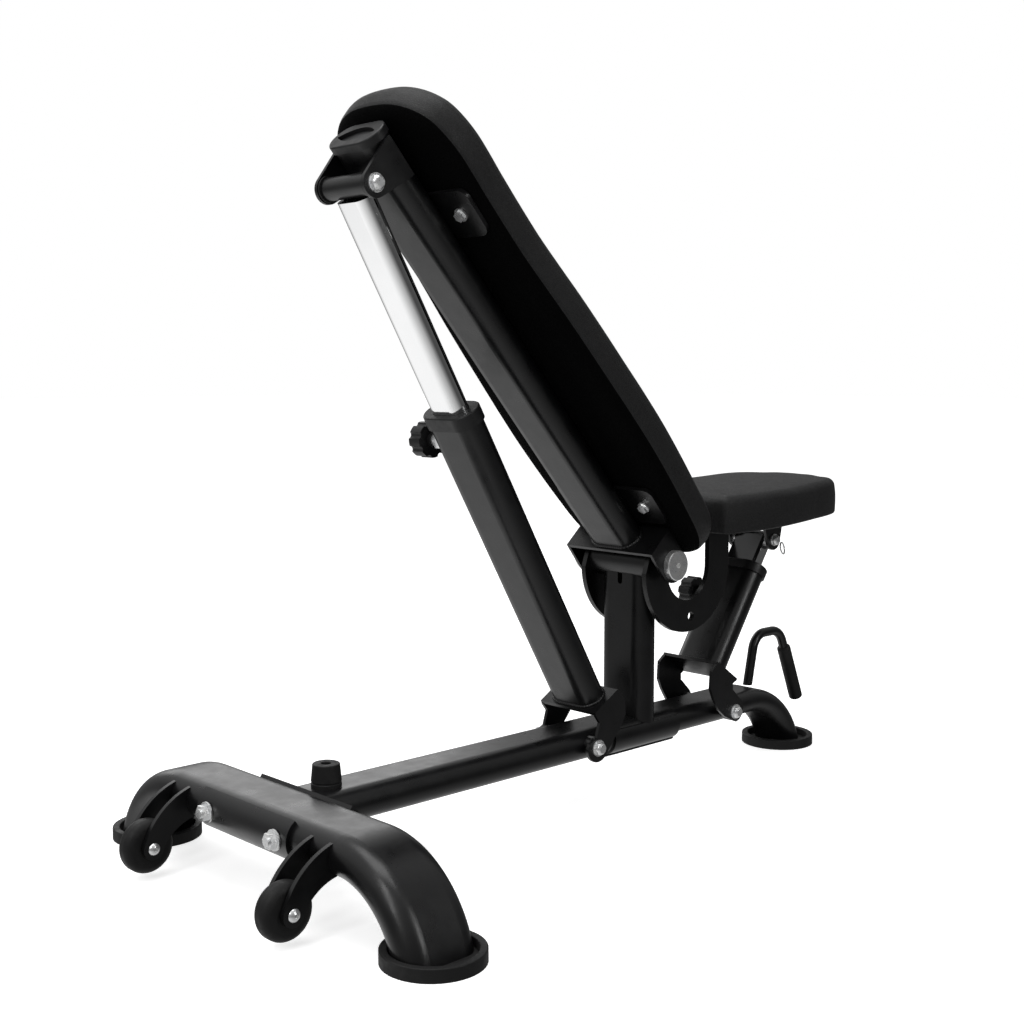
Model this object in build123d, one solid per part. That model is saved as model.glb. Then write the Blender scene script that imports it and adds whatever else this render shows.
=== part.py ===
"""Adjustable weight bench: welded base with three rubber feet and two wheels, a back pad and a
seat pad that both turn on the post's pivot, and two telescopic struts that hold them.

Millimetres, +Z up, +X towards the seat, +Y towards the side with the strut knobs.
Sizes are first laid out from the middle of the rear foot, on the floor. The finished parts are
then moved by ORIGIN_X, so that the origin is at the middle of the bench's footprint.
"""
from build123d import *
from math import acos, atan2, cos, degrees, radians, sin, sqrt
import os

os.makedirs("parts", exist_ok=True)

# ---------------------------------------------------------------- driving dimensions
# Base
TUBE_W, TUBE_T, WALL = 88.0, 44.0, 3.0          # flat-oval tube: width, depth, wall
FOOT_W, FOOT_T = 100.0, 50.0                    # larger flat oval of the rear foot
TUBE_Z = 94.0                                   # height of the base tubes' centre lines
REAR_FOOT_Y = 293.0                             # rear rubber feet, each side of the middle
FRONT_FOOT_X = 1031.0                           # front rubber foot
FOOT_BEND = 125.0                               # centre-line radius where a tube turns down
FOOT_LIFT = 5.0                                 # a tube's end stands this far above the floor
RING_D, RING_HOLE, RING_H = 120.0, 101.0, 16.0  # rubber foot ring
JOINT_X = 712.0                                 # where the front tube slips into the main tube
WHEEL_X, WHEEL_Z, WHEEL_Y = -96.7, 42.0, 150.8
WHEEL_D, WHEEL_W = 68.6, 26.0
BUMPER_X = 73.6

# Pivots, all parallel to Y
PIVOT_X, PIVOT_Z = 644.7, 352.2                 # back and seat pivot on the post
STRUT_X, STRUT_Z = 516.0, TUBE_Z                # foot of the back strut
CLEVIS_X, CLEVIS_Z = 122.0, 863.9               # top of the back strut
SEAT_STRUT_X = 838.0                            # foot of the seat strut, at height TUBE_Z
SEAT_CLEVIS_X, SEAT_CLEVIS_Z = 955.0, 360.5     # top of the seat strut

# Back frame
BACK_ANGLE = 48.0                               # back frame above the horizontal
BACK_BASE_X, BACK_BASE_Z = 617.5, 388.0         # middle of the bracket plate under the tube
BACK_TUBE_L = 716.0
BRACKET_T = 5.0
EAR_OUT = 86.0                                  # outer faces of the pivot bracket's ears
PAD_LOW, PAD_HIGH = -68.0, 744.0                # back pad's ends along the back tube
PAD_UNDER, PAD_TOP = 28.0, 86.0                 # pad's faces above the back tube's centre line
BOARD_T = 12.0

# Back strut
STRUT_BASE_X, STRUT_BASE_Z = 534.5, 158.0       # middle of the strut bracket's top plate
STRUT_OUTER_L = 480.0
INNER_W, INNER_T = 60.0, 30.0                   # chromed inner tube
STRUT_EAR_OUT = 56.0

# Seat
SEAT_REAR_X, SEAT_REAR_Z = 733.0, 390.7         # middle of the seat's rear lower edge
SEAT_TILT = 2.5                                 # seat's slope in its lowest position
SEAT_L, SEAT_T = 351.0, 58.0
SEAT_BOARD_T = 14.0
SIDE_PLATE_OUT, SIDE_PLATE_T = 65.3, 8.0
HOOP_X, HOOP_Z, HOOP_OUT, HOOP_IN = 705.0, 340.0, 98.0, 49.0
SEAT_STRUT_BASE_X, SEAT_STRUT_BASE_Z = 816.9, 161.8
SEAT_OUTER_L = 178.0

ORIGIN_X = (FRONT_FOOT_X + RING_D / 2 + WHEEL_X - WHEEL_D / 2) / 2

parts = {}


# ---------------------------------------------------------------- helpers
def side_plane(y):
    """Plane across the bench at y, with local x along +X and local y along +Z."""
    return Plane(origin=(0, y, 0), x_dir=(1, 0, 0), z_dir=(0, -1, 0))


def plate(sketch, y_low, y_high):
    """Plate between y_low and y_high whose outline is drawn in X and Z."""
    return extrude(side_plane(y_high) * sketch, amount=y_high - y_low)


def mirrored(shape):
    """The same shape on the other side of the bench."""
    return mirror(shape, about=Plane.XZ)


def both_sides(shape):
    return [shape, mirrored(shape)]


def rod_y(x, z, y_low, y_high, diameter):
    """Round bar parallel to Y."""
    return plate(Pos(x, z) * Circle(diameter / 2), y_low, y_high)


def ring_y(x, z, y_low, y_high, outer, inner):
    """Round tube parallel to Y."""
    return plate(Pos(x, z) * (Circle(outer / 2) - Circle(inner / 2)), y_low, y_high)


def hexagon_y(x, z, y_low, y_high, across_flats):
    return plate(Pos(x, z) * RegularPolygon(across_flats / 2, 6, major_radius=False), y_low, y_high)


def oval(width, depth):
    """Flat oval: flat faces joined by half circles."""
    return SlotOverall(width, depth)


def oval_tube(plane, width, depth, wall, start, end):
    """Flat-oval tube along the plane's normal from start to end."""
    section = oval(width, depth) - oval(width - 2 * wall, depth - 2 * wall)
    return extrude(plane.offset(start) * section, amount=end - start)


def oval_bar(plane, width, depth, start, end):
    return extrude(plane.offset(start) * oval(width, depth), amount=end - start)


def leaning_plane(x, z, angle):
    """Plane at (x, 0, z) whose normal leans back by angle above -X, with local x along Y."""
    return Plane(origin=(x, 0, z), x_dir=(0, 1, 0), z_dir=(-cos(radians(angle)), 0, sin(radians(angle))))


def lean_plate(base, sketch, y_low, y_high):
    """Plate drawn along a leaning tube: local x runs along the tube, local y towards its front."""
    x, z, angle = base
    c, s = cos(radians(angle)), sin(radians(angle))
    plane = Plane(origin=(x, y_low, z), x_dir=(-c, 0, s), z_dir=(0, 1, 0))
    return extrude(plane * sketch, amount=y_high - y_low)


def lean_block(base, sketch, low, high):
    """Block drawn across a leaning tube (local x along Y), between two heights in front of it."""
    x, z, angle = base
    c, s = cos(radians(angle)), sin(radians(angle))
    plane = Plane(origin=(x + low * s, 0, z + low * c), x_dir=(-c, 0, s), z_dir=(s, 0, c))
    return extrude(plane * sketch, amount=high - low)


def along(base, x, z):
    """Position of a point in X and Z along a leaning tube, and in front of it."""
    c, s = cos(radians(base[2])), sin(radians(base[2]))
    dx, dz = x - base[0], z - base[1]
    return -c * dx + s * dz, s * dx + c * dz


def hull(*shapes):
    return make_hull([edge for shape in shapes for edge in shape.edges()])


def polygon(points):
    return make_face(Polyline(*points, close=True))


def save(name, shape):
    """Collect a sub-part; a list of solids becomes one node with separate solids."""
    solids = shape if isinstance(shape, list) else [shape]
    flat = [s for item in solids for s in item.solids()]
    parts[name] = flat


def bolt_y(x, z, head_y, nut_y, shank, flats, head_h, flange_d, flange_t=2.0):
    """Flanged hex bolt with its head below head_y, and its nut above nut_y, as two solids."""
    shaft = rod_y(x, z, head_y - flange_t, nut_y + flange_t + head_h + 2.5, shank)
    flange = rod_y(x, z, head_y - flange_t, head_y, flange_d)
    head = hexagon_y(x, z, head_y - flange_t - head_h, head_y - flange_t, flats)
    dome_y = head_y - flange_t - head_h + flats * 0.44
    head = head & Solid.make_sphere(flats * 0.56).moved(Location((x, dome_y, z)))
    bolt = shaft + flange + head
    nut = rod_y(x, z, nut_y, nut_y + flange_t, flange_d) + hexagon_y(
        x, z, nut_y + flange_t, nut_y + flange_t + head_h, flats)
    nut = nut - rod_y(x, z, nut_y - 1, nut_y + 40, shank)
    return bolt, nut


# ---------------------------------------------------------------- base
MAIN_START = 30.0
SADDLE_R, SADDLE_T, SADDLE_HALF, SADDLE_ARC = FOOT_T / 2, 5.0, 96.0, 57.0
FOOT_ROUND_X = (FOOT_W - FOOT_T) / 2            # centre of the foot's round front and rear edges
FOOT_BOLT_Y = 72.9
FRONT_W, FRONT_T = TUBE_W - 2 * WALL - 0.4, TUBE_T - 2 * WALL - 0.4
FRONT_START = 560.0
SLEEVE_D = 55.6                                 # pivot sleeve on the post
SLEEVE_HALF = 54.7
PIN_D = 20.0                                    # main pivot bolt
RUN = 0.1                                       # diametral clearance of a running fit
SMALL_SLEEVE_D, SMALL_PIN_D = 30.0, 12.0        # strut feet
SLEEVE_BORE = 32.0
FOOT_SLEEVE_HALF, FOOT_SLEEVE_BORE = 48.8, 18.0
JOINT_SCREW_D = 8.0
JOINT_SCREW_X = (587.0, 690.0)
POST_SLOT_W, POST_SLOT_H = 9.0, 18.0
CHANNEL_T, CHANNEL_START, CHANNEL_SEAM_Z = 3.0, 565.0, 108.0
JOINT_BAR_START, JOINT_BAR_END, JOINT_BAR_W, JOINT_BAR_T = 565.0, 741.0, 40.0, 6.0
HANDLE_FOOT = (942.0, 100.0)
HANDLE_BENDS = ((963.0, 196.0), (1031.5, 196.0))
HANDLE_TIP = (1083.5, 73.0)
HANDLE_BEND_R = (30.0, 34.0)
HANDLE_D, GRIP_D, GRIP_L, GRIP_END = 15.5, 23.0, 104.0, 4.0


def bend_size():
    """Angle of the bend that brings a base tube down to its foot, and its reach along the tube."""
    turn = degrees(acos(1 - (TUBE_Z - FOOT_LIFT) / FOOT_BEND))
    return turn, FOOT_BEND * sin(radians(turn))


def bend_down(start, straight, turn, width, depth):
    """Flat-oval tube: straight along the plane's normal, then bent down to a level cut end."""
    section = oval(width, depth) - oval(width - 2 * WALL, depth - 2 * WALL)
    tube = extrude(start * section, amount=straight)
    corner = start.offset(straight)
    across = corner.x_dir
    axis = Axis(corner.origin - Vector(0, 0, FOOT_BEND), across)
    ahead = corner.z_dir
    angle = turn + 14
    if (across.cross(Vector(0, 0, 1))).dot(ahead) < 0:
        axis = Axis(corner.origin - Vector(0, 0, FOOT_BEND), -across)
    tube += revolve(corner * section, axis=axis, revolution_arc=angle)
    return tube - Pos(0, 0, FOOT_LIFT - 200) * Box(4000, 4000, 400)


def make_rear_foot():
    turn, reach = bend_size()
    flat = REAR_FOOT_Y - reach
    middle = Plane(origin=(0, 0, TUBE_Z), x_dir=(1, 0, 0), z_dir=(0, 1, 0))
    half = bend_down(middle, flat, turn, FOOT_W, FOOT_T)
    foot = half + mirrored(half)
    for y_bolt in (-FOOT_BOLT_Y, FOOT_BOLT_Y):
        foot -= Pos(0, y_bolt, TUBE_Z) * Rot(0, 90, 0) * Cylinder(6.2, 200)
    return foot


def make_saddle(side):
    """Curved clamp plate on the front (side 1) or rear (side -1) round of the rear foot."""
    centre = side * FOOT_ROUND_X
    outer = SADDLE_R + SADDLE_T
    shell = ring_y(centre, TUBE_Z, -SADDLE_HALF, SADDLE_HALF, 2 * outer, 2 * SADDLE_R)
    reach = 3 * outer
    slope = radians(SADDLE_ARC)
    wedge = polygon([
        (centre, TUBE_Z),
        (centre + side * reach * cos(slope), TUBE_Z + reach * sin(slope)),
        (centre + side * reach, TUBE_Z + reach * sin(slope)),
        (centre + side * reach, TUBE_Z - reach * sin(slope)),
        (centre + side * reach * cos(slope), TUBE_Z - reach * sin(slope)),
    ])
    saddle = shell & plate(wedge, -SADDLE_HALF, SADDLE_HALF)
    for y_bolt in (-FOOT_BOLT_Y, FOOT_BOLT_Y):
        saddle -= Pos(centre, y_bolt, TUBE_Z) * Rot(0, 90, 0) * Cylinder(6.2, 200)
    return saddle


def make_foot_bolts():
    """Two long bolts through the saddles and the rear foot, nuts on the outer face."""
    face = FOOT_ROUND_X + SADDLE_R + SADDLE_T
    bolts, nuts = [], []
    for y in (-FOOT_BOLT_Y, FOOT_BOLT_Y):
        bolt, nut = bolt_y(0, 0, -face, face, 12, 18, 8, 26)
        turn = Pos(0, y, TUBE_Z) * Rot(0, 0, 90)
        bolts.append(turn * bolt)
        nuts.append(turn * nut)
    return bolts, nuts


def make_main_tube():
    plane = Plane(origin=(0, 0, TUBE_Z), x_dir=(0, 1, 0), z_dir=(1, 0, 0))
    tube = oval_tube(plane, TUBE_W, TUBE_T, WALL, MAIN_START, JOINT_X)
    tube -= rod_y(FOOT_ROUND_X, TUBE_Z, -80, 80, 2 * (SADDLE_R + SADDLE_T))
    tube -= rod_y(STRUT_X, STRUT_Z, -80, 80, SMALL_SLEEVE_D)
    return tube - joint_screw_holes()


def make_front_foot():
    turn, reach = bend_size()
    start = Plane(origin=(FRONT_START, 0, TUBE_Z), x_dir=(0, 1, 0), z_dir=(1, 0, 0))
    foot = bend_down(start, FRONT_FOOT_X - reach - FRONT_START, turn, FRONT_W, FRONT_T)
    return foot - rod_y(SEAT_STRUT_X, TUBE_Z, -80, 80, SMALL_SLEEVE_D) - joint_screw_holes()


def make_rubber_foot(x, y):
    """Round rubber cup; the tube's end stands on its floor."""
    cup = extrude(Circle(RING_D / 2), amount=RING_H)
    cup -= Pos(0, 0, FOOT_LIFT) * extrude(Circle(RING_HOLE / 2), amount=RING_H)
    cup = fillet(cup.edges().filter_by(GeomType.CIRCLE).group_by(Axis.Z)[-1], 1.5)
    return Pos(x, y, 0) * cup


def make_wheel_bracket(side):
    """Two banana-shaped plates that carry one wheel behind the rear foot."""
    tip = 14.0
    outline = make_face([
        Polyline((-36, 112), (-42, 111.5)),
        ThreePointArc((-42, 111.5), (-88, 84), (WHEEL_X - tip, WHEEL_Z + 4)),
        ThreePointArc((WHEEL_X - tip, WHEEL_Z + 4), (WHEEL_X - 4, WHEEL_Z - 13.4), (WHEEL_X + tip, WHEEL_Z)),
        ThreePointArc((WHEEL_X + tip, WHEEL_Z), (-63, 62), (-38, 72)),
        Polyline((-38, 72), (-36, 112)),
    ])
    centre = side * WHEEL_Y
    gap = WHEEL_W / 2 + 2
    plates = []
    for low in (centre - gap - 6, centre + gap):
        piece = plate(outline, low, low + 6)
        piece -= rod_y(-FOOT_ROUND_X, TUBE_Z, low - 1, low + 7, FOOT_T)
        piece -= Pos(0, low, TUBE_Z) * Box(2 * FOOT_ROUND_X, 20, FOOT_T)
        piece -= rod_y(WHEEL_X, WHEEL_Z, low - 1, low + 7, 10)
        plates += piece.solids()
    return plates


def make_wheel(side):
    centre = side * WHEEL_Y
    wheel = rod_y(WHEEL_X, WHEEL_Z, centre - WHEEL_W / 2, centre + WHEEL_W / 2, WHEEL_D)
    wheel = fillet(wheel.edges().filter_by(GeomType.CIRCLE), 10)
    wheel -= rod_y(WHEEL_X, WHEEL_Z, centre - 20, centre + 20, 16)
    return wheel


def make_wheel_bush(side):
    centre = side * WHEEL_Y
    half = WHEEL_W / 2 + 1
    return ring_y(WHEEL_X, WHEEL_Z, centre - half, centre + half, 16, 10)


def make_wheel_axle(side):
    """Shoulder bolt with a domed head on the -Y side, and its nut."""
    centre = side * WHEEL_Y
    out = WHEEL_W / 2 + 2 + 6
    shaft = rod_y(WHEEL_X, WHEEL_Z, centre - out, centre + out + 10, 10 - RUN)
    dome = Solid.make_sphere(9).moved(Location((WHEEL_X, centre - out + 4.4, WHEEL_Z)))
    head = dome & rod_y(WHEEL_X, WHEEL_Z, centre - out - 10, centre - out, 30)
    head -= hexagon_y(WHEEL_X, WHEEL_Z, centre - out - 10, centre - out - 2.5, 5)
    nut = hexagon_y(WHEEL_X, WHEEL_Z, centre + out, centre + out + 8, 15)
    nut -= rod_y(WHEEL_X, WHEEL_Z, centre + out - 1, centre + out + 20, 10 - RUN)
    return [shaft + head, nut]


def make_bumper():
    """Tapered rubber stop with a groove round its foot, screwed to the top of the main tube."""
    top = TUBE_Z + TUBE_T / 2
    profile = Polyline((6.3, 0), (19.5, 0), (19.5, 5), (18.5, 6), (18.5, 7), (19.5, 8), (17.5, 30), (6.3, 30),
                       close=True)
    bumper = revolve(Plane.XZ * make_face(profile), axis=Axis.Z)
    bumper = fillet(bumper.edges().group_by(Axis.Z)[-1], 1.5)
    return Pos(BUMPER_X, 0, top) * bumper


def make_post():
    """Upright flat-oval tube, coped over the main tube's top and round the pivot sleeve."""
    plane = Plane(origin=(PIVOT_X, 0, 0), x_dir=(0, 1, 0), z_dir=(0, 0, 1))
    top = TUBE_Z + TUBE_T / 2
    post = oval_tube(plane, TUBE_W, TUBE_T, WALL, TUBE_Z, PIVOT_Z)
    along = Plane(origin=(0, 0, TUBE_Z), x_dir=(0, 1, 0), z_dir=(1, 0, 0))
    post -= oval_bar(along, TUBE_W, TUBE_T, PIVOT_X - 60, PIVOT_X + 60)
    post -= Pos(PIVOT_X, 0, TUBE_Z - 20) * Box(80, 120, 40)
    post -= rod_y(PIVOT_X, PIVOT_Z, -80, 80, SLEEVE_D)
    cope_z = PIVOT_Z - sqrt((SLEEVE_D / 2) ** 2 - (TUBE_T / 2) ** 2)
    slot_low = cope_z - POST_SLOT_H + POST_SLOT_W / 2
    slot = Pos(PIVOT_X - TUBE_T / 2, 0, slot_low + 50) * Box(20, POST_SLOT_W, 100)
    slot += Pos(PIVOT_X - TUBE_T / 2, 0, slot_low) * Rot(0, 90, 0) * Cylinder(POST_SLOT_W / 2, 20)
    return max((post - slot - make_joint_channel()).solids(), key=lambda solid: solid.volume)


def make_bush(x, z, half, sleeve_d, sleeve_bore, bore, flange_t):
    """Flanged plastic bush in the +Y end of a sleeve."""
    length = 18.0
    bush = rod_y(x, z, half - length, half, sleeve_bore) + rod_y(x, z, half, half + flange_t, sleeve_d)
    return bush - rod_y(x, z, half - length - 1, half + flange_t + 1, bore + RUN)


def joint_screw_holes():
    """Holes for the joint's screws, through everything under the tube's middle."""
    depth = TUBE_T / 2 + CHANNEL_T + JOINT_BAR_T + 5
    return [Pos(x, 0, TUBE_Z - depth / 2) * Cylinder(JOINT_SCREW_D / 2, depth) for x in JOINT_SCREW_X]


def make_joint_channel():
    """Channel that wraps the lower half of the joint between main tube and front foot tube."""
    plane = Plane(origin=(0, 0, TUBE_Z), x_dir=(0, 1, 0), z_dir=(1, 0, 0))
    outer_w, outer_t = TUBE_W + 2 * CHANNEL_T, TUBE_T + 2 * CHANNEL_T
    shell = oval_tube(plane, outer_w, outer_t, CHANNEL_T, CHANNEL_START, JOINT_X)
    return (shell & Pos(0, 0, CHANNEL_SEAM_Z - 100) * Box(4000, 200, 200)) - joint_screw_holes()


def make_joint_bar():
    """Round-ended flat bar under the channel, which clamps the joint."""
    under = TUBE_Z - TUBE_T / 2 - CHANNEL_T
    middle = (JOINT_BAR_START + JOINT_BAR_END) / 2
    outline = Pos(middle, 0) * SlotOverall(JOINT_BAR_END - JOINT_BAR_START, JOINT_BAR_W)
    return Pos(0, 0, under - JOINT_BAR_T) * extrude(outline, amount=JOINT_BAR_T) - joint_screw_holes()


def make_joint_screws():
    under = TUBE_Z - TUBE_T / 2 - CHANNEL_T - JOINT_BAR_T
    screws = []
    for x in JOINT_SCREW_X:
        shank = Pos(x, 0, under + 8) * Cylinder(JOINT_SCREW_D / 2, 16)
        head = Pos(x, 0, under) * extrude(RegularPolygon(6.5, 6, major_radius=False), amount=-5.5)
        screws.append(shank + head)
    return screws


def make_lift_handle():
    """Bent round bar that stands on the front tube, then hooks over and down."""
    points = [(x, 0, z) for x, z in (HANDLE_FOOT, *HANDLE_BENDS, HANDLE_TIP)]
    path = FilletPolyline(*points, radius=HANDLE_BEND_R)
    start = Plane(origin=points[0], z_dir=path % 0)
    bar = sweep(start * Circle(HANDLE_D / 2), path=path)
    plane = Plane(origin=(0, 0, TUBE_Z), x_dir=(0, 1, 0), z_dir=(1, 0, 0))
    return bar - oval_bar(plane, FRONT_W, FRONT_T, FRONT_START, FRONT_FOOT_X)


def make_lift_grip():
    """Round-ended rubber sleeve on the hanging end of the lift handle."""
    tip = Vector(HANDLE_TIP[0], 0, HANDLE_TIP[1])
    bend = Vector(HANDLE_BENDS[1][0], 0, HANDLE_BENDS[1][1])
    plane = Plane(origin=tip, z_dir=(bend - tip).normalized())
    grip = extrude(plane.offset(-GRIP_END) * Circle(GRIP_D / 2), amount=GRIP_L)
    grip = fillet(grip.edges(), 4)
    return grip - extrude(plane * Circle(HANDLE_D / 2), amount=GRIP_L)


def make_base():
    save("rear_foot", make_rear_foot())
    save("saddle_plates", [make_saddle(1), make_saddle(-1)])
    bolts, nuts = make_foot_bolts()
    save("foot_bolts", bolts + nuts)
    save("main_tube", make_main_tube())
    save("front_foot", make_front_foot())
    feet = ((0, REAR_FOOT_Y), (0, -REAR_FOOT_Y), (FRONT_FOOT_X, 0))
    save("rubber_feet", [make_rubber_foot(x, y) for x, y in feet])
    save("wheel_brackets", make_wheel_bracket(1) + make_wheel_bracket(-1))
    save("wheel_axles", make_wheel_axle(1) + make_wheel_axle(-1))
    for name, side in (("left", 1), ("right", -1)):
        save(f"wheel_{name}", [make_wheel(side), make_wheel_bush(side)])
    save("frame_bumper", make_bumper())
    save("post", make_post())
    save("pivot_sleeve", ring_y(PIVOT_X, PIVOT_Z, -SLEEVE_HALF, SLEEVE_HALF, SLEEVE_D, SLEEVE_BORE))
    bush = make_bush(PIVOT_X, PIVOT_Z, SLEEVE_HALF, SLEEVE_D, SLEEVE_BORE, PIN_D, 2.3)
    save("pivot_bushes", both_sides(bush))
    sleeves, bushes = [], []
    for x in (STRUT_X, SEAT_STRUT_X):
        half = FOOT_SLEEVE_HALF
        sleeves.append(ring_y(x, TUBE_Z, -half, half, SMALL_SLEEVE_D, FOOT_SLEEVE_BORE))
        bushes += both_sides(make_bush(x, TUBE_Z, half, SMALL_SLEEVE_D, FOOT_SLEEVE_BORE, SMALL_PIN_D, 1.8))
    save("strut_foot_sleeves", sleeves)
    save("strut_foot_bushes", bushes)
    save("joint_channel", make_joint_channel())
    save("joint_bar", make_joint_bar())
    save("joint_screws", make_joint_screws())
    save("lift_handle", make_lift_handle())
    save("lift_grip", make_lift_grip())


# ---------------------------------------------------------------- back
BACK = (BACK_BASE_X, BACK_BASE_Z, BACK_ANGLE)
PLATE_HALF = 27.5                               # half length of the plates under the tubes
BACK_PIVOT = along(BACK, PIVOT_X, PIVOT_Z)
BACK_CLEVIS = along(BACK, CLEVIS_X, CLEVIS_Z)
CLEVIS_SLEEVE_D, CLEVIS_HALF = 29.2, 42.0
CLEVIS_EAR_IN, CLEVIS_EAR_OUT = 45.0, 50.0
PAD_PLATES = (50.0, 580.0)
PAD_PLATE_L, PAD_PLATE_W, PAD_PLATE_T = 70.0, 190.0, 6.0
PAD_SCREW_Y = 66.0
PAD_WIDE, PAD_WAIST = 138.0, 113.0              # back pad's half widths
BOARD_INSET = 22.0
PAD_ROUND = 10.0                                # rounding of the pads' upper edges
BOLT_SPAN = EAR_OUT + 10                        # outer faces of the pivot bolt's disc heads
DISC_D = 45.0


def make_pivot_bracket():
    """Bracket plate across the foot of the back tube, with an ear down to the pivot each side."""
    span = 2 * PLATE_HALF
    plate_shape = lean_plate(BACK, Rectangle(BRACKET_T, span), -EAR_OUT, EAR_OUT)
    lobe = Pos(*BACK_PIVOT) * Circle(27)
    ear = lean_plate(BACK, hull(Rectangle(BRACKET_T, span), lobe), EAR_OUT - BRACKET_T, EAR_OUT)
    bracket = plate_shape + ear + mirrored(ear)
    return bracket - rod_y(PIVOT_X, PIVOT_Z, -100, 100, PIN_D + RUN)


def make_back_tube():
    plane = leaning_plane(*BACK)
    return oval_tube(plane, TUBE_W, TUBE_T, WALL, BRACKET_T / 2, BACK_TUBE_L)


def make_back_cap():
    """Plastic cap in the tube's top end, with a lip and a lens-shaped recess."""
    plane = leaning_plane(*BACK)
    cap = oval_bar(plane, TUBE_W + 5, TUBE_T + 5, BACK_TUBE_L, BACK_TUBE_L + 11)
    cap = fillet(cap.edges().group_by(Axis((0, 0, 0), plane.z_dir))[-1], 2.5)
    cap += oval_bar(plane, TUBE_W - 2 * WALL, TUBE_T - 2 * WALL, BACK_TUBE_L - 25, BACK_TUBE_L)
    lens = (Pos(0, 47) * Circle(60)) & (Pos(0, -47) * Circle(60))
    return cap - extrude(plane.offset(BACK_TUBE_L + 6) * lens, amount=20)


def make_top_clevis():
    """Teardrop ears on both sides of the back tube, which hold the top of the strut."""
    s, h = BACK_CLEVIS
    outline = hull(Pos(s, h) * Circle(18.5), Pos(s, 2) * Rectangle(58, 8))
    ear = lean_plate(BACK, outline, CLEVIS_EAR_IN, CLEVIS_EAR_OUT)
    weld = lean_plate(BACK, Pos(s, 0) * Rectangle(56, 16), TUBE_W / 2 - 4, CLEVIS_EAR_IN)
    ear += weld - oval_bar(leaning_plane(*BACK), TUBE_W, TUBE_T, 0, BACK_TUBE_L + 40)
    ear -= rod_y(CLEVIS_X, CLEVIS_Z, 0, 100, SMALL_PIN_D)
    return both_sides(ear)


def make_pad_plate(s):
    """Cross plate welded to the back tube, which the pad's board is screwed to."""
    outline = Pos(s, 0) * RectangleRounded(PAD_PLATE_L, PAD_PLATE_W, 14)
    flat = lean_block(BACK, outline, TUBE_T / 2, TUBE_T / 2 + PAD_PLATE_T)
    for y in (-PAD_SCREW_Y, PAD_SCREW_Y):
        flat -= lean_block(BACK, Pos(s, y) * Circle(4), 0, 40)
    return flat


def make_pad_screws():
    screws = []
    for s in PAD_PLATES:
        for y in (-PAD_SCREW_Y, PAD_SCREW_Y):
            washer = lean_block(BACK, Pos(s, y) * Circle(9.5), TUBE_T / 2 - 2, TUBE_T / 2)
            head = lean_block(BACK, Pos(s, y) * RegularPolygon(6.5, 6, major_radius=False), TUBE_T / 2 - 7,
                              TUBE_T / 2 - 2)
            shank = lean_block(BACK, Pos(s, y) * Circle(4), TUBE_T / 2 - 2, PAD_UNDER + BOARD_T)
            screws += (washer + head + shank).solids()
    return screws


def pad_outline(inset):
    """Outline of the back pad: widest above its lower end, a slight waist, and a round top."""
    low, top = PAD_LOW + inset, PAD_HIGH - inset
    corner = Spline((low, 80 - inset), (-28, 122 - inset), (30, 131 - inset), tangents=((0.1, 1), (1, 0.12)))
    side = Spline((30, 131 - inset), (160, PAD_WIDE - inset), (400, 125 - inset), (500, 115 - inset),
                  (600, PAD_WAIST - inset), (655, PAD_WAIST - inset), tangents=((1, 0.12), (1, 0)))
    crown = Spline((655, PAD_WAIST - inset), (712 - inset / 2, 93 - inset / 2), (top, 0),
                   tangents=((1, 0), (0, -1)))
    edges = [Line((top, 0), (low, 0)), Line((low, 0), (low, 80 - inset)), corner, side, crown]
    half = make_face(edges)
    return half + mirror(half, about=Plane.XZ)


def make_back_board():
    board = lean_block(BACK, pad_outline(BOARD_INSET), PAD_UNDER, PAD_UNDER + BOARD_T)
    for s in PAD_PLATES:
        for y in (-PAD_SCREW_Y, PAD_SCREW_Y):
            board -= lean_block(BACK, Pos(s, y) * Circle(4), 0, PAD_UNDER + BOARD_T + 1)
    return board


def make_back_cushion():
    cushion = lean_block(BACK, pad_outline(0), PAD_UNDER + BOARD_T, PAD_TOP)
    return rounded_top(cushion, leaning_plane(*BACK).y_dir * -1)


def rounded_top(cushion, up):
    """Round the edges of the cushion's upper face."""
    return fillet(cushion.edges().group_by(Axis((0, 0, 0), up))[-1], PAD_ROUND)


def make_pivot_bolt():
    """Main pivot bolt: a smooth shaft with a large disc head at each end."""
    gap = 0.3
    shaft = rod_y(PIVOT_X, PIVOT_Z, -EAR_OUT - gap, EAR_OUT + gap, PIN_D)
    disc = rod_y(PIVOT_X, PIVOT_Z, EAR_OUT + gap, BOLT_SPAN, DISC_D)
    disc = chamfer(disc.edges().group_by(Axis.Y)[-1], 1.2)
    disc -= hexagon_y(PIVOT_X, PIVOT_Z, BOLT_SPAN - 4, BOLT_SPAN + 1, 8)
    return shaft + disc + mirrored(disc)


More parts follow.
